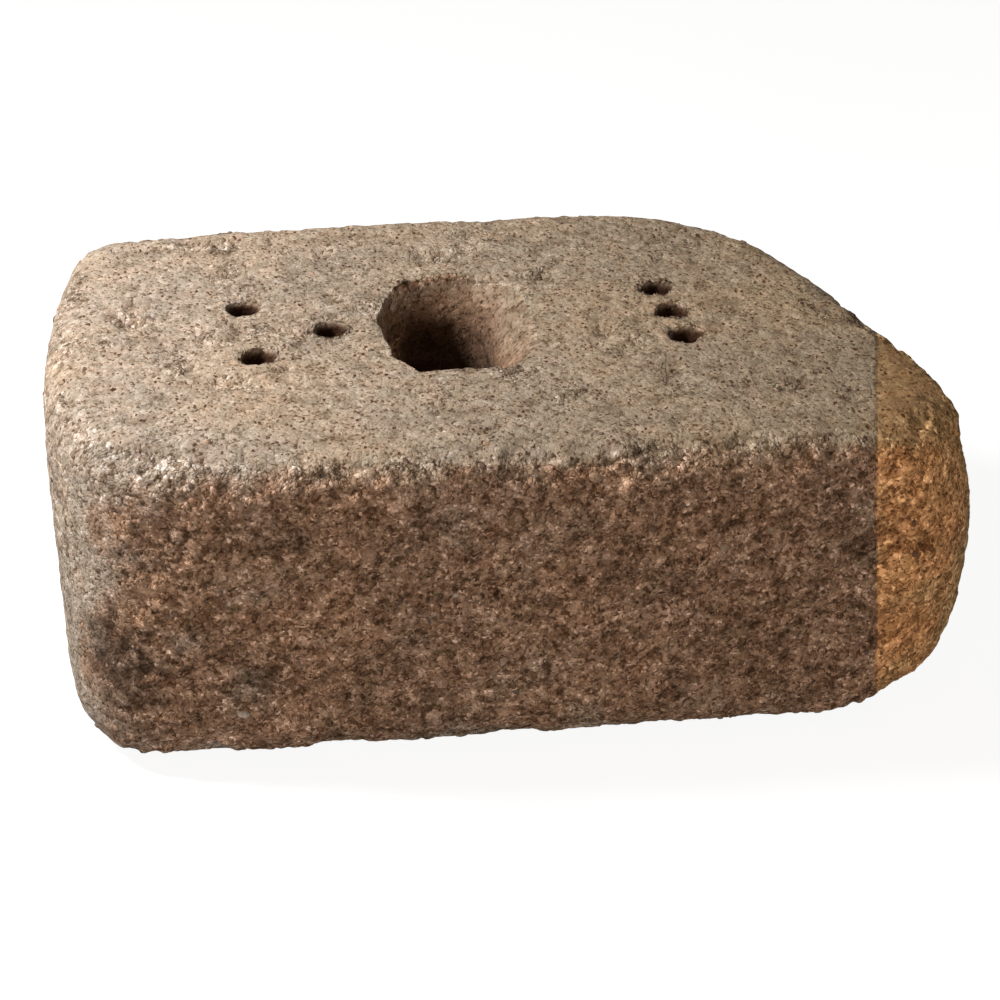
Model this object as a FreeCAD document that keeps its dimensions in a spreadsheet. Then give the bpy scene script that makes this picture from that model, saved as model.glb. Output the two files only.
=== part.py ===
import FreeCAD, Part
import math
import os
import Sketcher

os.makedirs("parts", exist_ok=True)
doc = FreeCAD.newDocument("retaining_wall_block")

# Driving dimensions, millimetres and degrees
# X runs along the split face, Y from the face to the tail, Z up from the bed.
# The origin is the middle of the bounding box, on the bed.
SIZES = {
    "block_height": 152.4,
    # the four sides at the bed: how far each lies from the origin, the radius of its bow, where its crest is
    "front_reach": 123.5,
    "front_bow": 3500.0,
    "front_crest": 3.3,
    "right_reach": 188.2,
    "right_bow": 870.0,
    "right_crest": 0.0,
    "right_taper": 17.9,
    "back_reach": 126.7,
    "back_bow": 2070.0,
    "back_crest": -31.7,
    "left_reach": 202.9,
    "left_bow": 550.0,
    "left_crest": 0.4,
    # lean of the sides that aren't upright: the face leans out towards the top, the right end leans in
    "front_lean": 1.4,
    "right_lean": 4.1,
    # wear of the upright corners and of the rims
    "front_left_round": 54.0,
    "front_right_round": 56.0,
    "back_right_round": 86.0,
    "back_left_round": 33.0,
    "bed_rim": 24.0,
    "top_rim": 17.0,
    # core, whose mouth is worn open to the right and the back: how far each side lies from the mould axis,
    # the depth of the wear, and the step by which its foot stays inside the core
    "mould_x": -16.0,
    "mould_y": 3.2,
    "core_right": 17.0,
    "core_back": 43.0,
    "core_left": 34.0,
    "core_front": 45.5,
    "core_corner": 22.0,
    "core_draft": 1.5,
    "mouth_right": 32.5,
    "mouth_back": 46.5,
    "mouth_left": 34.5,
    "mouth_front": 46.0,
    "mouth_corner": 27.0,
    "mouth_wear": 24.0,
    "mouth_step": 1.0,
    # pin holes, in rows that lean from square to the face
    "pin_bore": 14.0,
    "pin_lead": 1.5,
    "pin_left": 94.6,
    "pin_inner": 58.6,
    "pin_right": 97.0,
    "pin_pitch": 24.1,
    "pin_lean": 6.5,
}

# Centres of the bows, the foot of the worn mouth and the sideways step of a pin row, from the sizes above
DERIVED = {
    "front_x": "=front_crest",
    "front_y": "=front_bow - front_reach",
    "right_x": "=right_reach - right_bow * cos(right_taper)",
    "right_y": "=right_crest - right_bow * sin(right_taper)",
    "back_x": "=back_crest",
    "back_y": "=back_reach - back_bow",
    "left_x": "=left_bow - left_reach",
    "left_y": "=left_crest",
    "foot_right": "=core_right - mouth_step",
    "foot_back": "=core_back - mouth_step",
    "foot_left": "=core_left - mouth_step",
    "foot_front": "=core_front - mouth_step",
    "foot_corner": "=core_corner",
    "pin_step": "=pin_pitch * tan(pin_lean)",
}

SIDES = ["front", "right", "back", "left"]
UP = FreeCAD.Vector(0, 0, 1)

sheet = doc.addObject("Spreadsheet::Sheet", "Sizes")
for row, (name, value) in enumerate({**SIZES, **DERIVED}.items(), start=1):
    sheet.set("A%d" % row, name)
    sheet.set("B%d" % row, str(value))
    sheet.setAlias("B%d" % row, name)
doc.recompute()


def size(name):
    return float(sheet.get(name))


top = size("block_height")
body = doc.addObject("PartDesign::Body", "Block")
body.Label = "block"
doc.recompute()
bed_plane = [o for o in body.Origin.OriginFeatures if o.Role == "XY_Plane"][0]


def new_sketch(name, height=None):
    """A level sketch of the body, on the bed or at a height that the sheet gives."""
    sketch = body.newObject("Sketcher::SketchObject", name)
    sketch.AttachmentSupport = [(bed_plane, "")]
    sketch.MapMode = "FlatFace"
    if height:
        sketch.setExpression("AttachmentOffset.Base.z", height)
    return sketch


def bind(sketch, constraint, formula):
    """Adds a constraint whose value comes from the sheet."""
    index = sketch.addConstraint(constraint)
    sketch.setExpression("Constraints[%d]" % index, formula)


def bind_centre(sketch, geo, x_formula, y_formula):
    """Ties the centre of an arc or circle to the sheet."""
    centre = sketch.Geometry[geo].Center
    bind(sketch, Sketcher.Constraint("DistanceX", -1, 1, geo, 3, centre.x), x_formula)
    bind(sketch, Sketcher.Constraint("DistanceY", -1, 1, geo, 3, centre.y), y_formula)


def arc(centre, radius, start, end):
    circle = Part.Circle(FreeCAD.Vector(centre[0], centre[1], 0), UP, radius)
    return Part.ArcOfCircle(circle, start, end)


def crossing(one, two):
    """The outer crossing of two bows that follow each other round the block. A bow is x, y, radius."""
    dx, dy = two[0] - one[0], two[1] - one[1]
    gap = math.hypot(dx, dy)
    along = (one[2] ** 2 - two[2] ** 2 + gap ** 2) / (2 * gap)
    aside = math.sqrt(one[2] ** 2 - along ** 2)
    return (one[0] + (along * dx - aside * dy) / gap, one[1] + (along * dy + aside * dx) / gap)


def bearing(origin, point):
    return math.atan2(point[1] - origin[1], point[0] - origin[0])


def outline_sketch():
    """The plan of the block at the bed: four bowed sides that meet at sharp corners."""
    sketch = new_sketch("Outline")
    bows = [(size(side + "_x"), size(side + "_y"), size(side + "_bow")) for side in SIDES]
    corners = [crossing(bows[k - 1], bows[k]) for k in range(4)]
    sketch.addGeometry([arc(bow, bow[2], bearing(bow, corners[k]), bearing(bow, corners[(k + 1) % 4]))
                        for k, bow in enumerate(bows)], False)
    for k, side in enumerate(SIDES):
        sketch.addConstraint(Sketcher.Constraint("Coincident", k, 2, (k + 1) % 4, 1))
        bind(sketch, Sketcher.Constraint("Radius", k, size(side + "_bow")), "Sizes.%s_bow" % side)
        bind_centre(sketch, k, "Sizes.%s_x" % side, "Sizes.%s_y" % side)
    return sketch, corners


def level_edges(shape, height):
    """Names of the edges at a height."""
    return ["Edge%d" % number for number, edge in enumerate(shape.Edges, start=1)
            if all(abs(vertex.Z - height) < 1e-3 for vertex in edge.Vertexes)]


def dress(kind, name, base, edges, property_name, formula):
    """A fillet, chamfer or draft of the body, with its size from the sheet."""
    feature = body.newObject(kind, name)
    feature.Base = (base, edges)
    feature.setExpression(property_name, formula)
    doc.recompute()
    return feature


def lean(name, base, point, formula, outwards):
    """Leans the upright side nearest a point, about the bed."""
    probe = Part.Vertex(point[0], point[1], top / 2)
    faces = base.Shape.Faces
    nearest = min(range(len(faces)), key=lambda k: faces[k].distToShape(probe)[0])
    draft = body.newObject("PartDesign::Draft", name)
    draft.Base = (base, ["Face%d" % (nearest + 1)])
    draft.NeutralPlane = (bed_plane, [""])
    draft.Reversed = outwards
    draft.setExpression("Angle", formula)
    doc.recompute()
    return draft


def upright_edge(shape, corner):
    """Name of the edge that runs from the bed to the top nearest a corner."""
    foot = FreeCAD.Vector(corner[0], corner[1], 0)
    edges = [(min(v.Point.distanceToPoint(foot) for v in edge.Vertexes), number)
             for number, edge in enumerate(shape.Edges, start=1)
             if abs(edge.BoundBox.ZLength - top) < 1e-3]
    return "Edge%d" % min(edges)[1]


def join_smooth(sketch, count):
    """Closes a ring of edges, each tangent to the next."""
    for geo in range(count):
        sketch.addConstraint(Sketcher.Constraint("Tangent", geo, 2, (geo + 1) % count, 1))


def hollow_sketch(name, height, wall):
    """A level rectangle with round corners about the mould axis, with the sheet's sizes for a wall."""
    sketch = new_sketch(name, height)
    radius = size(wall + "_corner")
    middle = (size("mould_x"), size("mould_y"))
    reach = {side: size("%s_%s" % (wall, side)) for side in SIDES}
    centres = [(middle[0] + reach["right"] - radius, middle[1] + reach["back"] - radius),
               (middle[0] - reach["left"] + radius, middle[1] + reach["back"] - radius),
               (middle[0] - reach["left"] + radius, middle[1] - reach["front"] + radius),
               (middle[0] + reach["right"] - radius, middle[1] - reach["front"] + radius)]
    edges = []
    for k, centre in enumerate(centres):
        turn = k * math.pi / 2
        edges.append(arc(centre, radius, turn, turn + math.pi / 2))
        following = arc(centres[(k + 1) % 4], radius, turn + math.pi / 2, turn + math.pi)
        edges.append(Part.LineSegment(edges[-1].EndPoint, following.StartPoint))
    sketch.addGeometry(edges, False)
    join_smooth(sketch, len(edges))
    back, left, front, right = 1, 3, 5, 7
    for geo in (back, front):
        sketch.addConstraint(Sketcher.Constraint("Horizontal", geo))
    for geo in (left, right):
        sketch.addConstraint(Sketcher.Constraint("Vertical", geo))
    for geo in (2, 4, 6):
        sketch.addConstraint(Sketcher.Constraint("Equal", 0, geo))
    bind(sketch, Sketcher.Constraint("Radius", 0, radius), "Sizes.%s_corner" % wall)
    for kind, geo, axis, side, sign in (("DistanceX", right, "mould_x", "right", 1),
                                        ("DistanceX", left, "mould_x", "left", -1),
                                        ("DistanceY", back, "mould_y", "back", 1),
                                        ("DistanceY", front, "mould_y", "front", -1)):
        value = size(axis) + sign * reach[side]
        bind(sketch, Sketcher.Constraint(kind, -1, 1, geo, 1, value),
             "Sizes.%s + %d * Sizes.%s_%s" % (axis, sign, wall, side))
    return sketch


def pin_sketch():
    """Two outer holes and an inner one on the left of the core, a row of three on the right."""
    sketch = new_sketch("PinHoles", "Sizes.block_height")
    places = [("left", -1, 1), ("inner", -1, 0), ("left", -1, -1),
              ("right", 1, 1), ("right", 1, 0), ("right", 1, -1)]
    for geo, (column, side, step) in enumerate(places):
        x = size("mould_x") + side * size("pin_" + column) - step * size("pin_step")
        y = size("mould_y") + step * size("pin_pitch")
        sketch.addGeometry(Part.Circle(FreeCAD.Vector(x, y, 0), UP, size("pin_bore") / 2), False)
        bind(sketch, Sketcher.Constraint("Diameter", geo, size("pin_bore")), "Sizes.pin_bore")
        bind_centre(sketch, geo,
                    "Sizes.mould_x + %d * Sizes.pin_%s - %d * Sizes.pin_step" % (side, column, step),
                    "Sizes.mould_y + %d * Sizes.pin_pitch" % step)
    return sketch


def cut(name, sketch, formula):
    """A pocket straight down from its sketch."""
    before = body.Shape.Volume
    pocket = body.newObject("PartDesign::Pocket", name)
    pocket.Profile = sketch
    pocket.Type = "Length"
    pocket.setExpression("Length", formula)
    doc.recompute()
    if not pocket.Shape.Volume < before:
        raise RuntimeError(name + " cuts nothing")
    return pocket


# Outer form: the plan is drawn up, two sides lean, then the corners and both rims are worn round
outline, corners = outline_sketch()
form = body.newObject("PartDesign::Pad", "Form")
form.Profile = outline
form.setExpression("Length", "Sizes.block_height")
doc.recompute()
form = lean("RightLean", form, (size("right_reach"), size("right_crest")), "Sizes.right_lean", False)
form = lean("FrontLean", form, (size("front_crest"), -size("front_reach")), "Sizes.front_lean", True)
for name, corner in zip(("front_left", "front_right", "back_right", "back_left"), corners):
    label = name.title().replace("_", "") + "Corner"
    form = dress("PartDesign::Fillet", label, form, [upright_edge(form.Shape, corner)],
                 "Radius", "Sizes.%s_round" % name)
form = dress("PartDesign::Fillet", "BedRim", form, level_edges(form.Shape, 0), "Radius", "Sizes.bed_rim")
form = dress("PartDesign::Fillet", "TopRim", form, level_edges(form.Shape, top), "Radius", "Sizes.top_rim")

# Core: through the block, narrower towards the bed, its mouth worn open
core = cut("Core", hollow_sketch("CoreOutline", "Sizes.block_height", "core"), "Sizes.block_height")
core.setExpression("TaperAngle", "-Sizes.core_draft")
doc.recompute()
mouth = body.newObject("PartDesign::SubtractiveLoft", "Mouth")
mouth.Profile = hollow_sketch("MouthOutline", "Sizes.block_height", "mouth")
mouth.Sections = [hollow_sketch("MouthFoot", "Sizes.block_height - Sizes.mouth_wear", "foot")]
mouth.Ruled = True
doc.recompute()

# Pin holes: through the block, each with a small worn lead-in
pins = cut("PinBores", pin_sketch(), "Sizes.block_height")
mouths = [name for name in level_edges(pins.Shape, top) if pins.Shape.getElement(name).isClosed()]
body.Tip = dress("PartDesign::Chamfer", "PinLead", pins, mouths, "Size", "Sizes.pin_lead")
doc.recompute()

# Checks, then the file
for item in doc.Objects:
    if "Invalid" in item.State or "Error" in item.State:
        raise RuntimeError(item.Name + " did not build: " + ", ".join(item.State))
shape = body.Shape
if shape.isNull() or not shape.isValid() or len(shape.Solids) != 1:
    raise RuntimeError("the block is not one valid solid")
shape.exportStep("parts/%s.step" % body.Label)
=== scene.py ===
import math

import bpy
import numpy as np
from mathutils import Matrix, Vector


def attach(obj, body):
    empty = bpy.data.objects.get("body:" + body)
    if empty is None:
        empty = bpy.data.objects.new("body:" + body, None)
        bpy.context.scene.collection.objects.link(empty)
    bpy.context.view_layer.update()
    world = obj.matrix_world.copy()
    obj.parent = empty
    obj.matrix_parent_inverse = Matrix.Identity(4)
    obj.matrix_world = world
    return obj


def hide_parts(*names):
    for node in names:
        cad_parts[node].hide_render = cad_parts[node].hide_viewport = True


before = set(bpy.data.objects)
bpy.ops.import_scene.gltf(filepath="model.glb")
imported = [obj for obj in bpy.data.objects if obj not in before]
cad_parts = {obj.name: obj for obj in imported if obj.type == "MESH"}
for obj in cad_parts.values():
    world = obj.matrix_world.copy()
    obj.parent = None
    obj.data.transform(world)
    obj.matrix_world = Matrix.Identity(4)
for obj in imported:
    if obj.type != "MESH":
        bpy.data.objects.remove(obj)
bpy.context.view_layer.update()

MM = 0.001

# Camera: where it looks, how far off it stands and how it is turned
AIM = (1.967, 0.36, 58.851)
DISTANCE = 1202.6
YAW = 6.56
PITCH = 30.6
LENS = 92.09

# Lamps: place and what it points at in metres, size, watts. The surround's strength and tint
KEY = ((-0.62, 0.05, 0.74), (0.0, 0.0, 0.1), 0.2, 7.8)
FILL = ((-0.35, -2.2, 0.5), (0.0, 0.0, 0.08), 0.5, 14.8)
AMBIENT = 0.1
AMBIENT_TINT = (1.0, 0.86, 0.7)
FLOOR_ALBEDO = 0.3
FLOOR_GLOW = 0.9

# The block, millimetres in the part's frame
HEIGHT = 152.4
TOP_RIM = 17.0
BED_RIM = 27.0
# side: crest, bearing of its outward direction, radius of its bow, inset at the top, inset at the bed
SIDES = {
    "front": ((3.3, -126.64), -90.0, 3522.0, -0.58, 4.6),
    "right": ((183.5, 0.36), 17.64, 867.0, 13.47, 0.18),
    "back": ((-31.7, 127.42), 90.0, 2068.0, 2.2, 3.06),
    "left": ((-203.2, 0.36), 180.0, 551.0, 0.55, 1.5),
}
# corner: the sides it joins, about where it is, its radius at the waist, what that gains at the top and the bed
CORNERS = [
    ("left", "front", (-207, -127), 66.0, 26.0, -32.0),
    ("front", "right", (203, -127), 47.5, 2.8, 24.1),
    ("right", "back", (133, 127), 99.7, 0.0, 0.0),
    ("back", "left", (-207, 127), 32.5, 0.0, 0.0),
]

# Core: the worn mouth and the bore under it, each an oval's centre, half widths and squareness
MOUTH = ((-17.0, 4.0), (34.5, 47.0), 2.3)
MOUTH_FRONT = 45.0
MOUTH_DEPTH = 24.0
BORE = ((-24.5, 1.95), (25.5, 44.25), 3.2)
BORE_DRAFT = 0.026
PIN_RADIUS = 6.7
PINS = [(-113.3, 27.3), (-74.6, 3.2), (-107.9, -20.9), (78.3, 27.3), (81.0, 3.2), (83.7, -20.9)]

# Facet size of the raw skin, and how many triangles stay of it
VOXEL = 1.55
TRIANGLES = 192000

# Plane of the ochre stain's edge: a point on it, and its slopes along Y and Z
STAIN_AT = (160.5, -60.4, 152.4)
STAIN_SLOPE = (0.245, -0.076)
# Soot and painted shade low on the front's left: a point and its reach
SOOT_AND_SHADE_AT = (-176.0, -112.0, 56.0)
SOOT_AND_SHADE_REACH = 26.0

# Stones that stand out on the front: place along X and Z, radius, tone from dark to white
NOTED = [((-123.4, 31.5), 3.2, 0.99), ((-66.9, 111.6), 4.2, 0.72), ((26.8, 141.3), 3.4, 0.66),
         ((-117.7, 128.7), 2.4, 0.8), ((-162.7, 107.3), 2.2, 0.95), ((-32.1, 89.9), 1.6, 0.97)]
STONES = 900
GLINTS = 110


def lattice(cells, seed):
    """A fixed random number from 0 to 1 for each whole-number cell."""
    x, y, z = (cells[:, k].astype(np.int64) for k in range(3))
    mixed = x * 73856093 ^ y * 19349663 ^ z * 83492791 ^ (seed + 1) * 40503
    mixed = (mixed ^ (mixed >> 13)) * 1274126177
    mixed = (mixed ^ (mixed >> 16)) * 668265263
    return ((mixed >> 8) & 0xFFFF) / 65535.0


def noise(points, width, seed):
    """Smooth random heights from -1 to 1 with lumps about as wide as said."""
    scaled = points / width
    base = np.floor(scaled)
    part = scaled - base
    blend = part ** 3 * (part * (part * 6 - 15) + 10)
    total = np.zeros(len(points))
    for corner in range(8):
        step = np.array([corner & 1, corner >> 1 & 1, corner >> 2 & 1])
        weight = np.prod(np.where(step, blend, 1 - blend), axis=1)
        total += weight * lattice(base + step, seed)
    return total * 2 - 1


def rough(points, width, seed, octaves=3, gain=0.5):
    """Several layers of noise, each finer and weaker than the one before."""
    return sum(noise(points, width / 2 ** k, seed + k) * gain ** k for k in range(octaves))


def nearest_seed(points, width, seed):
    """Distance to the nearest of many scattered points, one to a cell, and that point's random number."""
    base = np.floor(points / width)
    best = np.full(len(points), 1e9)
    chance = np.zeros(len(points))
    for k in range(27):
        cell = base + np.array([k % 3 - 1, k // 3 % 3 - 1, k // 9 - 1])
        place = np.stack([lattice(cell, seed + j) for j in range(3)], axis=1)
        away = np.linalg.norm((cell + place) * width - points, axis=1)
        nearer = away < best
        best = np.where(nearer, away, best)
        chance = np.where(nearer, lattice(cell, seed + 3), chance)
    return best, chance


def smooth(low, high, value):
    part = np.clip((value - low) / (high - low), 0, 1)
    return part * part * (3 - 2 * part)


def bow(side, inset):
    """Centre and radius of one side's bow."""
    crest, bearing, radius = SIDES[side][:3]
    out = np.array([math.cos(math.radians(bearing)), math.sin(math.radians(bearing))])
    return np.array(crest) - out * radius, radius - inset


def arc_points(centre, radius, start, end, count):
    """Points along the shorter arc from one place to another, the last left out."""
    first = math.atan2(*(start - centre)[::-1])
    turn = (math.atan2(*(end - centre)[::-1]) - first + math.pi) % (2 * math.pi) - math.pi
    angles = first + turn * np.arange(count) / count
    return centre + radius * np.stack([np.cos(angles), np.sin(angles)], axis=1)


def outline(height):
    """The block's plan at a height: four bows joined by four corner arcs."""
    part = height / (HEIGHT / 2) - 1
    at_top, at_bed = part * (part + 1) / 2, part * (part - 1) / 2
    rim = 0.0
    if height > HEIGHT - TOP_RIM:
        rim = TOP_RIM - math.sqrt(max(TOP_RIM ** 2 - (height - HEIGHT + TOP_RIM) ** 2, 0))
    if height < BED_RIM:
        rim = BED_RIM - math.sqrt(max(BED_RIM ** 2 - (BED_RIM - height) ** 2, 0))
    bows = {side: bow(side, SIDES[side][3] * at_top + SIDES[side][4] * at_bed + rim) for side in SIDES}
    arcs = []
    for one, two, place, radius, top_gain, bed_gain in CORNERS:
        radius = max(radius + top_gain * at_top + bed_gain * at_bed - rim, 3.0)
        (first, reach), (second, reach_two) = bows[one], bows[two]
        reach, reach_two = reach - radius, reach_two - radius
        between = second - first
        gap = np.linalg.norm(between)
        along = (reach ** 2 - reach_two ** 2 + gap ** 2) / (2 * gap)
        aside = math.sqrt(max(reach ** 2 - along ** 2, 0))
        across = np.array([-between[1], between[0]]) / gap
        options = [first + between * along / gap + across * aside * sign for sign in (1, -1)]
        centre = min(options, key=lambda q: np.linalg.norm(q - place))
        start = centre + (centre - first) / reach * radius
        end = centre + (centre - second) / reach_two * radius
        arcs.append((centre, radius, start, end, two))
    points = []
    for k, (centre, radius, start, end, side) in enumerate(arcs):
        points.append(arc_points(centre, radius, start, end, 22))
        points.append(arc_points(*bows[side], end, arcs[(k + 1) % 4][2], 44))
    return np.concatenate(points)


def oval(angles, spec):
    """Distance from an oval's centre to its edge, by direction."""
    (half_x, half_y), power = spec[1:]
    return ((np.abs(np.cos(angles)) / half_x) ** power + (np.abs(np.sin(angles)) / half_y) ** power) ** (-1 / power)


def mouth(angles):
    """Distance from the mouth's centre to its lip: an oval with a straight front and a broken front left corner."""
    centre, (half_x, half_y), power = MOUTH
    reach = np.where(np.sin(angles) < 0, oval(angles, (centre, (half_x, half_y + 6), power)), oval(angles, MOUTH))
    reach = np.minimum(reach, MOUTH_FRONT / np.maximum(-np.sin(angles), 0.1))
    broken = np.exp(-((np.mod(angles, 2 * np.pi) - math.radians(216)) / 0.3) ** 2)
    return reach * (1 - 0.065 * broken)


def core_ring(depth, angles):
    """The core's plan at a depth under the top: a worn mouth that slopes into a bore."""
    way = np.stack([np.cos(angles), np.sin(angles)], axis=1)
    below = max(depth, 0.0)
    upper = MOUTH[0] + way * (mouth(angles) + 1.4 * math.exp(-below / 1.5))[:, None]
    lower = BORE[0] + way * (oval(angles, BORE) - BORE_DRAFT * below)[:, None]
    share = max(1 - below / MOUTH_DEPTH, 0.0) ** 1.6
    points = upper * share + lower * (1 - share)
    points = points + way * (4.0 * np.clip(np.cos(angles - 0.2), 0, 1) * math.exp(-below / 3.5))[:, None]
    ragged = rough(np.column_stack([points, np.full(len(points), depth)]), 12.0, 31, 2)
    return points + way * (ragged * 1.3)[:, None]


def pin_ring(place, depth, angles, seed):
    """A pin hole's ragged plan at a depth, its mouth worn to the back and the right."""
    below = max(depth, 0.0)
    worn = 2.6 * np.clip(np.cos(angles - math.radians(65)), 0, 1) * math.exp(-below / 4.0)
    at = np.column_stack([np.cos(angles) * 7, np.sin(angles) * 7, np.full(len(angles), depth)])
    radius = PIN_RADIUS + 0.6 * math.exp(-below / 1.5) + worn + rough(at, 4.5, seed, 2) * 0.75
    return np.stack([place[0] + radius * np.cos(angles), place[1] + radius * np.sin(angles)], axis=1)


def stack(name, rings):
    """A closed mesh from level rings, lowest first, each a height and its points."""
    count = len(rings[0][1])
    verts = np.concatenate([np.column_stack([points, np.full(count, height)]) for height, points in rings])
    faces = [tuple(range(count - 1, -1, -1))]
    for level in range(len(rings) - 1):
        low, high = level * count, (level + 1) * count
        for k in range(count):
            after = (k + 1) % count
            faces.append((low + k, low + after, high + after, high + k))
    faces.append(tuple(range(high, high + count)))
    return new_object(name, verts, faces)


def new_object(name, verts, faces):
    """A mesh object from corners in millimetres."""
    mesh = bpy.data.meshes.new(name)
    mesh.from_pydata((verts * MM).tolist(), [], faces)
    made = bpy.data.objects.new(name, mesh)
    bpy.context.scene.collection.objects.link(made)
    return made


def apply_modifiers(target):
    """Puts the result of an object's modifiers into its mesh."""
    depsgraph = bpy.context.evaluated_depsgraph_get()
    mesh = bpy.data.meshes.new_from_object(target.evaluated_get(depsgraph))
    target.modifiers.clear()
    target.data = mesh


def rough_shape():
    """The worn form with the core and the pin holes cut out, remeshed to even facets."""
    quarter = np.linspace(0, math.pi / 2, 13)
    heights = np.concatenate([BED_RIM * (1 - np.cos(quarter)), np.linspace(BED_RIM, HEIGHT - TOP_RIM, 15)[1:-1],
                              HEIGHT - TOP_RIM * (1 - np.sin(quarter))])
    form = stack("worn_block", [(z, outline(z)) for z in heights])
    angles = np.linspace(0, 2 * math.pi, 160, endpoint=False)
    depths = [HEIGHT + 3, 120, 90, 60, 45, 35, 28, 24, 20, 16, 13, 10, 7.5, 5.5, 4, 2.7, 1.6, 0.8, 0, -3]
    tools = [stack("core_tool", [(HEIGHT - d, core_ring(d, angles)) for d in depths])]
    angles = np.linspace(0, 2 * math.pi, 48, endpoint=False)
    depths = [HEIGHT + 3, 110, 70, 40, 25, 16, 11, 8, 5.5, 3.5, 2, 1, 0, -3]
    for k, place in enumerate(PINS):
        tools.append(stack("pin_tool", [(HEIGHT - d, pin_ring(place, d, angles, 50 + 7 * k)) for d in depths]))
    for tool in tools:
        cut = form.modifiers.new("cut", "BOOLEAN")
        cut.operation = "DIFFERENCE"
        cut.solver = "EXACT"
        cut.object = tool
    remesh = form.modifiers.new("remesh", "REMESH")
    remesh.mode = "VOXEL"
    remesh.voxel_size = VOXEL * MM
    apply_modifiers(form)
    for tool in tools:
        bpy.data.objects.remove(tool)
    return form


def read(mesh):
    """Vertex places in millimetres and vertex normals."""
    places = np.empty(len(mesh.vertices) * 3)
    mesh.vertices.foreach_get("co", places)
    normals = np.empty(len(mesh.vertices) * 3)
    mesh.vertices.foreach_get("normal", normals)
    return places.reshape(-1, 3) / MM, normals.reshape(-1, 3)


def zones(places, normals):
    """How far each vertex belongs to the flat top, the bed and the broken sides, and how brown or dark it is: the
    brown is partly the broken sides' own colour and partly painted light and shade, the dark is painted shade in
    the core and the pin holes.
    """
    depth = HEIGHT - places[:, 2]
    drift = rough(places, 24.0, 3, 3)
    from_core = places[:, :2] - MOUTH[0]
    angles = np.arctan2(from_core[:, 1], from_core[:, 0])
    inside = np.linalg.norm(from_core, axis=1) - mouth(angles)
    voids = smooth(1.5, -1.0, inside) * smooth(0.2, 1.4, depth)
    slope = np.clip(np.cos(angles - 0.25), 0, 1)
    # Painted shade in the core: browner and darker the deeper it lies, starting lower on the right slope, which the
    # light reaches.
    shade = voids * (0.1 + 0.6 * smooth(3 * slope, 9 + 14 * slope, depth + 3 * drift))
    dark = 0.8 * voids * smooth(1 + 9 * slope, 34.0, depth + 5 * drift)
    # Painted shade in the pin holes: browner and darker below their lips.
    for pin in PINS:
        near = smooth(9.8, 7.8, np.linalg.norm(places[:, :2] - pin, axis=1)) * smooth(0.4, 1.6, depth)
        voids = np.maximum(voids, near)
        shade = np.maximum(shade, near * smooth(0.5, 5.0, depth))
        dark = np.maximum(dark, near * smooth(0.6, 3.5, depth))
    # Painted shade: on the front's arris at the left the surface counts as facing less upward, so the brown starts
    # higher there and the top's zone ends sooner.
    worn = 0.13 * smooth(-60.0, -150.0, places[:, 0]) * smooth(0.05, 0.35, -normals[:, 1])
    up = normals[:, 2] - worn
    top = smooth(0.7, 0.98, up + 0.2 * drift) * (1 - voids)
    bed = smooth(-0.9, -0.99, up)
    # Painted light: the upper left end, where the light falls on the worn shoulder, is held back from the brown.
    painted_light_left = 0.22 * smooth(-140.0, -190.0, places[:, 0]) * smooth(40.0, 100.0, places[:, 2])
    # Brown on the faces toward the front and back: partly their own colour, partly painted shade on the shaded
    # arris, joined by the core's painted shade.
    brown = smooth(0.3, 0.98, np.abs(normals[:, 1]) - painted_light_left + 0.3 * drift) * smooth(0.99, 0.72, up + 0.35 * drift)
    brown = np.maximum(brown * (1 - voids), shade)
    calm = smooth(0.35, 0.85, -normals[:, 0]) * (1 - voids)
    milder = 0.55 * smooth(0.3, 0.85, np.abs(normals[:, 0])) + 0.35 * smooth(0.3, 0.9, normals[:, 1])
    milder = milder + 0.15 * calm + 0.4 * (1 - milder) * smooth(13.0, 2.0, places[:, 2])
    split = (1 - top) * (1 - bed) * (1 - voids) * (1 - milder)
    even = np.maximum(np.maximum(top, 0.75 * calm), 0.8 * voids)
    return {"top": top, "bed": bed, "split": split, "voids": voids, "brown": brown, "dark": dark, "even": even}


def crevices(places, along, up):
    """Narrow broken grooves that run up to the right, as depths from 0 to 1."""
    drawn = np.column_stack([along / 2.6, places[:, 1] / 1.5, up])
    line = np.abs(rough(drawn, 8.5, 61, 2))
    return smooth(0.14, 0.02, line) * smooth(0.0, 0.3, noise(places, 17.0, 67))


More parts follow.
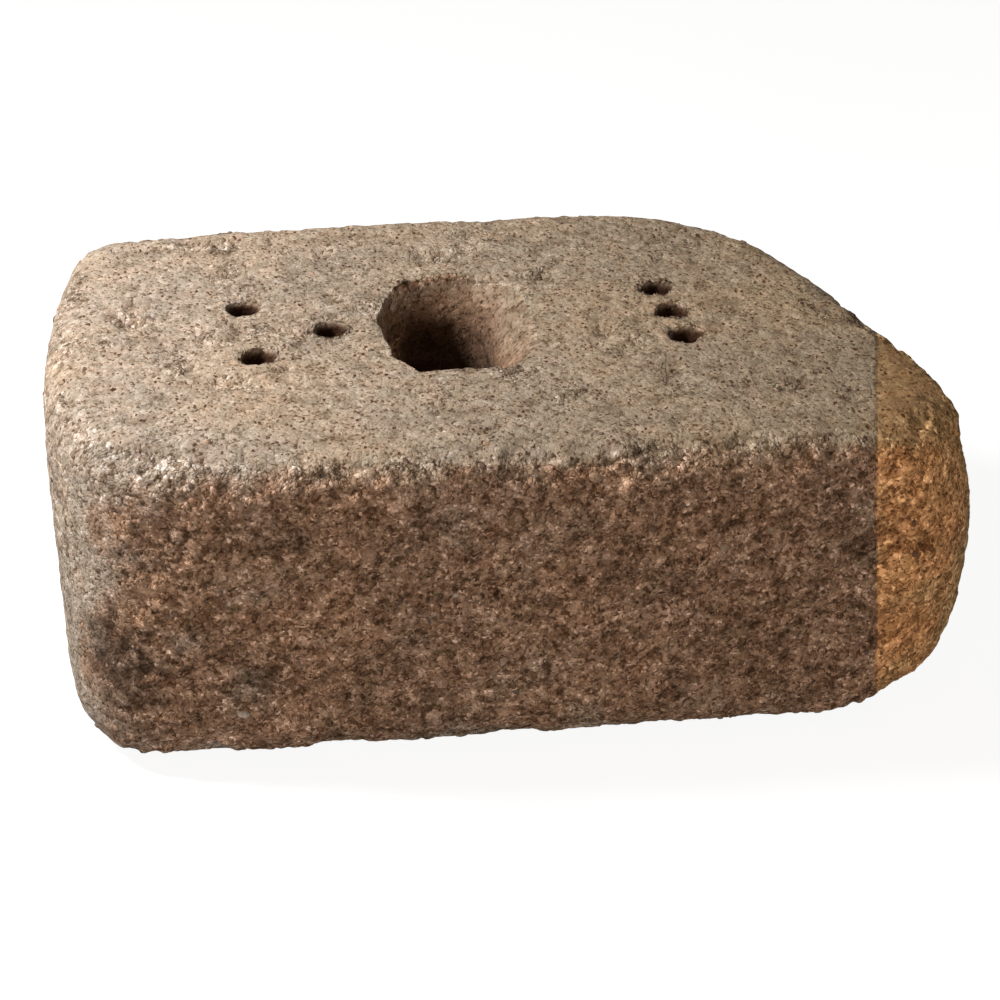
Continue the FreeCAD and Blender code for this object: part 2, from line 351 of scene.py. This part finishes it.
def relief(places, zone):
    """Height of the surface over the worn form, millimetres, and how deep in a groove or pit each vertex lies."""
    lean = math.radians(33)
    along = places[:, 0] * math.cos(lean) + places[:, 2] * math.sin(lean)
    up = -places[:, 0] * math.sin(lean) + places[:, 2] * math.cos(lean)
    drawn = np.column_stack([along / 2.2, places[:, 1], up])
    heave = rough(places, 60.0, 5, 2)
    ridges = rough(drawn, 17.0, 9, 3)
    lumps = np.abs(rough(places, 9.0, 17, 3)) - 0.3
    grit = rough(places, 4.2, 23, 2)
    groove = crevices(places, along, up)
    clod_away, clod = nearest_seed(places, 6.0, 71)
    clods = np.sqrt(np.clip(1 - (clod_away / (1.8 + 2.6 * clod)) ** 2, 0, 1)) * (0.5 + clod)
    away, chance = nearest_seed(places, 8.0, 41)
    size = 0.9 + 1.7 * chance ** 2
    pits = np.clip(1 - away / size, 0, 1)
    split = heave * 0.7 + ridges * 1.7 - lumps * 1.4 + grit * 0.6 + clods * 0.8 - groove * 1.2 - 0.8
    top = heave * 0.2 + lumps * -0.4 + grit * 0.25 + clods * 0.12 - pits * size * 0.8 - 0.15
    voids = grit * 0.45 - lumps * 0.4
    chips = smooth(0.05, 0.5, rough(places, 15.0, 91, 2)) * 4 * zone["top"] * (1 - zone["top"])
    height = -1.8 * chips + zone["split"] * split + zone["top"] * top + zone["voids"] * voids - zone["bed"] * (0.2 + 0.15 * heave)
    hollow = np.clip(groove * zone["split"] + pits * zone["top"] + smooth(0.25, 0.8, lumps) * 0.6, 0, 1)
    return height, hollow


def write(mesh, name, values):
    """Stores one number per vertex for the material."""
    layer = mesh.attributes.new(name, "FLOAT", "POINT")
    layer.data.foreach_set("value", values.astype(np.float32))


def make_block():
    """The visible skin of the block, and the places and normals of its vertices."""
    block = rough_shape()
    mesh = block.data
    places, normals = read(mesh)
    zone = zones(places, normals)
    height, hollow = relief(places, zone)
    places = places + normals * height[:, None]
    places[:, 2] = np.clip(places[:, 2], 0, HEIGHT + 0.4)
    mesh.vertices.foreach_set("co", (places * MM).ravel())
    mesh.update()
    write(mesh, "top", zone["top"])
    write(mesh, "brown", zone["brown"])
    write(mesh, "dark", zone["dark"])
    write(mesh, "hollow", hollow)
    write(mesh, "voids", zone["voids"])
    write(mesh, "even", zone["even"])
    thin = block.modifiers.new("thin", "DECIMATE")
    thin.ratio = TRIANGLES / (2 * len(mesh.polygons))
    apply_modifiers(block)
    block.data.polygons.foreach_set("use_smooth", np.ones(len(block.data.polygons), dtype=bool))
    block.name = block.data.name = "split_block"
    return block, places, normals


def ball(rings=5, spokes=8):
    """Corners and faces of a small round stone of radius 1."""
    verts = [(0.0, 0.0, 1.0)]
    for ring in range(1, rings):
        tilt = math.pi * ring / rings
        verts += [(math.sin(tilt) * math.cos(turn), math.sin(tilt) * math.sin(turn), math.cos(tilt))
                  for turn in np.linspace(0, 2 * math.pi, spokes, endpoint=False)]
    verts.append((0.0, 0.0, -1.0))
    last = len(verts) - 1
    faces = []
    for k in range(spokes):
        after = (k + 1) % spokes
        faces.append((0, 1 + k, 1 + after))
        for ring in range(rings - 2):
            start = 1 + ring * spokes
            faces.append((start + k, start + spokes + k, start + spokes + after, start + after))
        faces.append((last - spokes + after, last - spokes + k, last))
    return np.array(verts), faces


def make_stones(places, normals):
    """Small stones sunk in the surface, most on the broken sides."""
    chance = np.random.default_rng(11)
    zone = zones(places, normals)
    weight = (0.15 + 0.85 * zone["split"]) * (1 - zone["voids"]) * (places[:, 2] > 6)
    picks = chance.choice(len(places), STONES, replace=False, p=weight / weight.sum())
    radii = 0.8 + 1.5 * chance.random(STONES) ** 2.5
    tones = 0.85 * chance.random(STONES)
    chosen = list(zip(picks, radii, tones))
    picks = chance.choice(len(places), GLINTS, replace=False, p=weight / weight.sum())
    chosen += [(pick, 0.4 + 0.3 * chance.random(), 1.0) for pick in picks]
    front = np.flatnonzero(normals[:, 1] < -0.5)
    for (x, z), radius, tone in NOTED:
        nearest = front[np.argmin(np.hypot(places[front, 0] - x, places[front, 2] - z))]
        chosen.append((nearest, radius, tone))
    verts, faces = ball()
    all_verts, all_faces, all_tones, all_browns = [], [], [], []
    for number, (pick, radius, tone) in enumerate(chosen):
        turn = np.linalg.qr(chance.normal(size=(3, 3)))[0]
        squash = np.array([1.0, 0.6 + 0.4 * chance.random(), 0.5 + 0.4 * chance.random()])
        lumpy = 1 + 0.16 * noise(verts + number * 5.3, 1.1, 83)
        shape = (verts * lumpy[:, None] * squash * radius) @ turn.T
        out = shape @ normals[pick]
        shape = shape - np.outer(np.maximum(out - radius * 0.45, 0) * 0.6, normals[pick])
        all_faces += [tuple(corner + number * len(verts) for corner in face) for face in faces]
        all_verts.append(shape + places[pick] - normals[pick] * radius * 0.25)
        all_tones.append(np.full(len(verts), tone))
        all_browns.append(np.full(len(verts), zone["brown"][pick]))
    stones = new_object("small_stones", np.concatenate(all_verts), all_faces)
    write(stones.data, "tone", np.concatenate(all_tones))
    write(stones.data, "brown", np.concatenate(all_browns))
    stones.data.polygons.foreach_set("use_smooth", np.ones(len(stones.data.polygons), dtype=bool))
    return stones


class Graph:
    """Short calls to lay the nodes of one material."""

    def __init__(self, name):
        self.material = bpy.data.materials.new(name)
        self.material.use_nodes = True
        self.nodes = self.material.node_tree.nodes
        self.links = self.material.node_tree.links
        self.shader = self.nodes["Principled BSDF"]
        place = self.node("ShaderNodeTexCoord").outputs["Object"]
        self.place = self.vector("SCALE", place, scale=1 / MM)
        self.axes = self.node("ShaderNodeSeparateXYZ").outputs
        self.put(self.axes["X"].node.inputs[0], self.place)

    def node(self, kind, **settings):
        made = self.nodes.new(kind)
        for key, value in settings.items():
            setattr(made, key, value)
        return made

    def put(self, socket, value):
        if hasattr(value, "links"):
            self.links.new(value, socket)
        elif isinstance(value, (tuple, list)) and len(value) == 3 and socket.type == "RGBA":
            socket.default_value = (*value, 1.0)
        else:
            socket.default_value = value

    def vector(self, operation, first, second=None, scale=None):
        made = self.node("ShaderNodeVectorMath", operation=operation)
        self.put(made.inputs[0], first)
        if second is not None:
            self.put(made.inputs[1], second)
        if scale is not None:
            made.inputs["Scale"].default_value = scale
        return made.outputs[0]

    def math(self, operation, first, second=0.0, clamp=False):
        made = self.node("ShaderNodeMath", operation=operation, use_clamp=clamp)
        self.put(made.inputs[0], first)
        self.put(made.inputs[1], second)
        return made.outputs[0]

    def noise(self, width, detail=2.0, roughness=0.5, place=None, distortion=0.0):
        made = self.node("ShaderNodeTexNoise")
        self.put(made.inputs["Vector"], place or self.place)
        made.inputs["Scale"].default_value = 1.0 / width
        made.inputs["Detail"].default_value = detail
        made.inputs["Roughness"].default_value = roughness
        made.inputs["Distortion"].default_value = distortion
        return made.outputs[0]

    def cells(self, width, place=None, feature="F1"):
        made = self.node("ShaderNodeTexVoronoi", feature=feature)
        self.put(made.inputs["Vector"], place or self.place)
        made.inputs["Scale"].default_value = 1.0 / width
        return made.outputs["Distance"], made.outputs.get("Color")

    def attribute(self, name):
        return self.node("ShaderNodeAttribute", attribute_name=name).outputs["Fac"]

    def range(self, value, low, high, to_low=0.0, to_high=1.0):
        made = self.node("ShaderNodeMapRange", clamp=True)
        for socket, number in zip(made.inputs[:5], (value, low, high, to_low, to_high)):
            self.put(socket, number)
        return made.outputs[0]

    def mix(self, factor, first, second, blend="MIX"):
        made = self.node("ShaderNodeMix", data_type="RGBA", blend_type=blend)
        made.clamp_factor = True
        self.put(made.inputs["Factor"], factor)
        self.put(made.inputs[6], first)
        self.put(made.inputs[7], second)
        return made.outputs[2]

    def ramp(self, value, stops):
        made = self.node("ShaderNodeValToRGB")
        elements = made.color_ramp.elements
        while len(elements) < len(stops):
            elements.new(0.5)
        for element, (place, colour) in zip(elements, stops):
            element.position = place
            element.color = (*colour, 1.0)
        self.put(made.inputs[0], value)
        return made.outputs[0]

    def bump(self, height, strength, depth, before=None):
        made = self.node("ShaderNodeBump")
        made.inputs["Strength"].default_value = strength
        made.inputs["Distance"].default_value = depth * MM
        self.put(made.inputs["Height"], height)
        if before is not None:
            self.put(made.inputs["Normal"], before)
        return made.outputs[0]

    def wobble(self, width):
        """A vector that wanders by half a unit each way."""
        made = self.node("ShaderNodeTexNoise")
        self.put(made.inputs["Vector"], self.place)
        made.inputs["Scale"].default_value = 1.0 / width
        made.inputs["Detail"].default_value = 0.0
        return self.vector("SUBTRACT", made.outputs["Color"], (0.5, 0.5, 0.5))

    def along(self, way):
        """How far each point lies along a direction."""
        made = self.node("ShaderNodeVectorMath", operation="DOT_PRODUCT")
        self.put(made.inputs[0], self.place)
        self.put(made.inputs[1], way)
        return made.outputs["Value"]

    def drawn(self, angle, stretch):
        """The place in a frame turned in the front's plane and drawn out along that angle."""
        cosine, sine = math.cos(math.radians(angle)), math.sin(math.radians(angle))
        made = self.node("ShaderNodeCombineXYZ")
        self.put(made.inputs[0], self.along((cosine / stretch, 0.0, sine / stretch)))
        self.put(made.inputs[1], self.axes["Y"])
        self.put(made.inputs[2], self.along((-sine, 0.0, cosine)))
        return made.outputs[0]

    def length(self, vector):
        made = self.node("ShaderNodeVectorMath", operation="LENGTH")
        self.put(made.inputs[0], vector)
        return made.outputs["Value"]

    def mix_value(self, factor, first, second):
        return self.range(factor, 0.0, 1.0, first, second)

    def single(self, colour, channel=0):
        made = self.node("ShaderNodeSeparateColor")
        self.put(made.inputs[0], colour)
        return made.outputs[channel]


def colour_of(red, green, blue):
    """A colour of the screen, 0 to 255, as the shader counts it."""
    return tuple((c / 255 / 12.92) if c < 10.3 else ((c / 255 + 0.055) / 1.055) ** 2.4 for c in (red, green, blue))


def tint(g, factor, base, colour):
    """The base colour multiplied by another where the factor is 1."""
    return g.mix(factor, base, g.mix(1.0, base, colour, "MULTIPLY"))


def past_edge(g, wander):
    """0 up to a slanting plane near the right end, 1 past it."""
    rise = g.math("ADD", g.math("MULTIPLY", g.math("SUBTRACT", g.axes["Y"], STAIN_AT[1]), STAIN_SLOPE[0]),
                  g.math("MULTIPLY", g.math("SUBTRACT", g.axes["Z"], STAIN_AT[2]), STAIN_SLOPE[1]))
    past = g.math("SUBTRACT", g.math("SUBTRACT", g.axes["X"], STAIN_AT[0]), rise)
    past = g.math("ADD", past, g.range(wander, 0.2, 0.8, -0.9, 0.9))
    return g.range(past, -0.8, 0.8)


def grains(g, place, width):
    """Grains with sharp edges: each one's swell, and two random numbers of its own."""
    away, colour = g.cells(width, place=place)
    return g.math("SUBTRACT", 1.0, g.math("MULTIPLY", away, away)), g.single(colour, 0), g.single(colour, 2)


def pits(g, place, width, share, largest):
    """Small round pits, one to some of the cells of a width: 1 inside, 0 outside."""
    gap, colour = g.cells(width, place=place)
    size = g.range(g.single(colour, 1), 1 - share, 1.0, largest * 0.45, largest)
    here = g.math("GREATER_THAN", g.single(colour, 1), 1 - share)
    return g.math("MULTIPLY", g.range(g.math("SUBTRACT", gap, size), -0.06, 0.03, 1.0, 0.0), here)


def concrete():
    """Sandy concrete: tan and pitted on top, browner where it faces the front or back, partly its own colour and
    partly painted shade, with painted shade in its grooves, pits, core and pin holes.
    """
    g = Graph("concrete")
    top, brown, dark, hollow = (g.attribute(name) for name in ("top", "brown", "dark", "hollow"))
    voids, even = (g.attribute(name) for name in ("voids", "even"))
    aside = g.vector("ADD", g.place, (300.0, 120.0, 0.0))
    slanted = g.drawn(33.0, 2.6)
    patch = g.noise(60.0, 3.0, 0.55)
    blotch = g.noise(13.0, 2.0, 0.6, place=slanted)
    hue = g.noise(9.0, 3.0, 0.65, place=aside)
    clump = g.noise(7.0, 3.0, 0.6)
    crowd = g.range(hue, 0.42, 0.56, 0.2, 1.0)
    ochre = past_edge(g, clump)
    quiet = g.math("SUBTRACT", 1.0, g.math("MULTIPLY", ochre, 0.45))
    shaken = g.vector("ADD", g.place, g.vector("SCALE", g.wobble(1.3), scale=1.3))
    swell, tone, rise = grains(g, shaken, 1.25)
    wide_swell, wide_tone, wide_rise = grains(g, shaken, 2.9)
    pit = g.math("MULTIPLY", pits(g, g.vector("MULTIPLY", shaken, (1.0, 0.6, 1.0)), 2.4, 0.85, 0.38), crowd)
    line = g.math("ABSOLUTE", g.math("SUBTRACT", g.noise(6.0, 2.0, 0.6, place=slanted), 0.5))
    gap = g.math("MULTIPLY", g.range(line, 0.006, 0.03, 1.0, 0.0), g.range(clump, 0.54, 0.42))

    tan = g.ramp(patch, [(0.34, colour_of(189, 171, 153)), (0.5, colour_of(199, 178, 158)),
                         (0.66, colour_of(204, 180, 156))])
    # The tan darkens and warms toward the right end: partly the concrete's own change of tone, partly painted shade
    # of the light's falloff across the block.
    tan = tint(g, g.range(g.axes["X"], -190.0, 190.0), tan, (0.77, 0.72, 0.605))
    # The broken faces' own brown, which also carries painted shade where the brown zone does.
    split_brown_and_shade = g.ramp(patch, [(0.32, colour_of(172, 134, 107)), (0.5, colour_of(180, 139, 109)),
                          (0.68, colour_of(187, 143, 111))])
    base = g.mix(brown, tan, split_brown_and_shade)
    base = tint(g, 1.0, base, g.ramp(hue, [(0.36, (0.965, 1.0, 0.99)), (0.5, (1.0, 1.0, 1.0)),
                                           (0.64, (1.04, 0.99, 0.955))]))
    base = tint(g, g.math("MULTIPLY", g.mix_value(even, 0.95, 0.12), quiet), base,
                g.ramp(blotch, [(0.34, (0.76, 0.74, 0.71)), (0.5, (1.0, 1.0, 1.0)), (0.66, (1.2, 1.21, 1.22))]))
    base = tint(g, g.math("MULTIPLY", g.mix_value(even, 0.72, 0.26), quiet), base,
                g.ramp(clump, [(0.35, (0.56, 0.52, 0.47)), (0.5, (1.0, 1.0, 1.0)), (0.65, (1.36, 1.4, 1.46))]))
    small = g.ramp(tone, [(0.0, (0.26, 0.20, 0.15)), (0.14, (0.55, 0.50, 0.43)), (0.28, (0.92, 0.91, 0.90)),
                          (0.72, (1.05, 1.06, 1.07)), (0.90, (1.38, 1.45, 1.55)), (1.0, (2.1, 2.35, 2.7))])
    small_top = g.ramp(tone, [(0.0, (0.30, 0.24, 0.18)), (0.10, (0.62, 0.56, 0.48)), (0.2, (0.98, 0.98, 0.97)),
                              (0.8, (1.03, 1.04, 1.05)), (0.94, (1.12, 1.15, 1.18)), (1.0, (1.35, 1.4, 1.5))])
    base = tint(g, 0.92, base, g.mix(even, small, small_top))
    base = tint(g, g.mix_value(even, 0.95, 0.38), base,
                g.ramp(wide_tone, [(0.0, (0.46, 0.41, 0.34)), (0.16, (0.76, 0.73, 0.69)), (0.4, (1.0, 1.0, 1.0)),
                                   (0.82, (1.1, 1.12, 1.15)), (1.0, (1.6, 1.7, 1.85))]))
    # Painted shade: dark thin diagonal creases, in the colour alone.
    base = tint(g, g.math("MULTIPLY", gap, g.mix_value(top, 0.8, 0.2)), base, (0.30, 0.25, 0.20))
    # Painted shade: small round pits drawn dark brown, in the colour alone.
    base = g.mix(g.math("MULTIPLY", pit, g.mix_value(top, 0.5, 0.95)), base, colour_of(78, 50, 33))
    # Painted shade in the grooves, the pits and the hollows between lumps.
    base = tint(g, g.math("MULTIPLY", hollow, 0.8), base, (0.34, 0.28, 0.23))
    base = tint(g, ochre, base, g.mix(top, (1.84, 1.54, 1.05), (1.05, 0.84, 0.6)))
    # Soot and painted shade low on the front's left, darkest near its point.
    away = g.length(g.vector("SUBTRACT", g.place, SOOT_AND_SHADE_AT))
    away = g.math("ADD", away, g.range(clump, 0.2, 0.8, -9.0, 9.0))
    base = tint(g, g.range(away, SOOT_AND_SHADE_REACH * 0.4, SOOT_AND_SHADE_REACH, 0.9, 0.0), base, (0.28, 0.25, 0.22))
    # Painted shade: the core and the pin holes darker all over, and much darker deep down.
    base = tint(g, voids, base, (0.8, 0.78, 0.76))
    base = tint(g, dark, base, (0.17, 0.125, 0.10))
    g.put(g.shader.inputs["Base Color"], base)
    g.shader.inputs["Roughness"].default_value = 0.95
    g.shader.inputs["Specular IOR Level"].default_value = 0.2

    relief = g.math("MULTIPLY", swell, g.range(rise, 0.0, 1.0, 0.3, 0.75))
    relief = g.math("ADD", relief, g.math("MULTIPLY", wide_swell, g.range(wide_rise, 0.0, 1.0, 0.4, 1.2)))
    relief = g.math("ADD", g.math("MULTIPLY", relief, g.mix_value(even, 1.5, 0.55)),
                    g.math("MULTIPLY", clump, g.mix_value(even, 3.2, 1.0)))
    relief = g.math("MULTIPLY", relief, g.math("MULTIPLY", g.mix_value(voids, 1.0, 0.6), quiet))
    g.put(g.shader.inputs["Normal"], g.bump(relief, 1.0, 1.0))
    return g.material


def stone():
    """Bits of sand and gravel, each from dark brown over tan and orange to quartz white."""
    g = Graph("stone")
    tone = g.attribute("tone")
    base = g.ramp(tone, [(0.0, colour_of(120, 99, 82)), (0.3, colour_of(168, 143, 120)),
                         (0.6, colour_of(196, 172, 146)), (0.8, colour_of(208, 166, 134)),
                         (0.9, colour_of(212, 190, 162)), (1.0, colour_of(245, 236, 222))])
    # Stones take the brown of the surface where they sit, partly its own colour and partly painted shade.
    base = tint(g, g.math("MULTIPLY", g.attribute("brown"), 0.8), base, (0.8, 0.66, 0.58))
    wear = g.noise(1.2, 3.0, 0.7)
    base = tint(g, g.range(wear, 0.38, 0.6, 0.8, 0.0), base, (0.5, 0.44, 0.4))
    base = tint(g, past_edge(g, wear), base, (1.2, 0.9, 0.5))
    g.put(g.shader.inputs["Base Color"], base)
    g.shader.inputs["Roughness"].default_value = 0.85
    g.put(g.shader.inputs["Normal"], g.bump(g.noise(1.3, 3.0, 0.7), 1.0, 1.0))
    return g.material


def look_at(item, place, target):
    item.location = place
    item.rotation_mode = "QUATERNION"
    item.rotation_quaternion = (Vector(target) - Vector(place)).to_track_quat("-Z", "Y")
    bpy.context.scene.collection.objects.link(item)


def make_camera():
    data = bpy.data.cameras.new("camera")
    data.sensor_width = 36.0
    data.lens = LENS
    data.clip_start, data.clip_end = 0.05, 50.0
    camera = bpy.data.objects.new("camera", data)
    yaw, pitch = math.radians(YAW), math.radians(PITCH)
    ahead = Vector((math.sin(yaw) * math.cos(pitch), math.cos(yaw) * math.cos(pitch), -math.sin(pitch)))
    aim = Vector(AIM) * MM
    look_at(camera, aim - ahead * DISTANCE * MM, aim)
    bpy.context.scene.camera = camera


def make_lamp(name, spec):
    lamp = bpy.data.lights.new(name, "AREA")
    lamp.shape = "DISK"
    lamp.size, lamp.energy = spec[2:]
    look_at(bpy.data.objects.new(name, lamp), *spec[:2])


def seen(nodes, links):
    """1 for what the camera sees, straight or in a reflection or through glass, otherwise 0."""
    path = nodes.new("ShaderNodeLightPath")
    total = path.outputs["Is Camera Ray"]
    for name in ("Is Glossy Ray", "Is Transmission Ray"):
        either = nodes.new("ShaderNodeMath")
        either.operation = "MAXIMUM"
        links.new(total, either.inputs[0])
        links.new(path.outputs[name], either.inputs[1])
        total = either.outputs[0]
    return total


def between(nodes, links, factor, low, high):
    """A number that is low where the factor is 0 and high where it is 1."""
    level = nodes.new("ShaderNodeMapRange")
    links.new(factor, level.inputs[0])
    level.inputs[3].default_value = low
    level.inputs[4].default_value = high
    return level.outputs[0]


def make_stage():
    """White floor that keeps the shadow, and a white surround."""
    reach = 12000.0
    floor = new_object("floor", np.array([(-reach, -reach, 0), (reach, -reach, 0), (reach, reach, 0), (-reach, reach, 0)]),
                       [(0, 1, 2, 3)])
    material = bpy.data.materials.new("floor")
    material.use_nodes = True
    nodes, links = material.node_tree.nodes, material.node_tree.links
    shader = nodes["Principled BSDF"]
    shader.inputs["Base Color"].default_value = (FLOOR_ALBEDO, FLOOR_ALBEDO, FLOOR_ALBEDO, 1.0)
    shader.inputs["Roughness"].default_value = 1.0
    shader.inputs["Specular IOR Level"].default_value = 0.0
    shader.inputs["Emission Color"].default_value = (1, 1, 1, 1)
    links.new(between(nodes, links, seen(nodes, links), 0.0, FLOOR_GLOW), shader.inputs["Emission Strength"])
    material.cycles.emission_sampling = "NONE"
    floor.data.materials.append(material)

    world = bpy.data.worlds.new("surround")
    bpy.context.scene.world = world
    world.use_nodes = True
    world.cycles.sampling_method = "NONE"
    nodes, links = world.node_tree.nodes, world.node_tree.links
    back = nodes["Background"]
    watched = seen(nodes, links)
    blend = nodes.new("ShaderNodeMix")
    blend.data_type = "RGBA"
    links.new(watched, blend.inputs["Factor"])
    blend.inputs[6].default_value = (*AMBIENT_TINT, 1.0)
    blend.inputs[7].default_value = (1, 1, 1, 1)
    links.new(blend.outputs[2], back.inputs["Color"])
    links.new(between(nodes, links, watched, AMBIENT, 1.0), back.inputs["Strength"])


bpy.context.scene.view_settings.view_transform = "Standard"
make_camera()
block, places, normals = make_block()
block.data.materials.clear()
block.data.materials.append(concrete())
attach(block, "root")
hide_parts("block")
stones = make_stones(places, normals)
stones.data.materials.append(stone())
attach(stones, "root")
make_stage()
make_lamp("key", KEY)
make_lamp("fill", FILL)

bpy.context.view_layer.update()
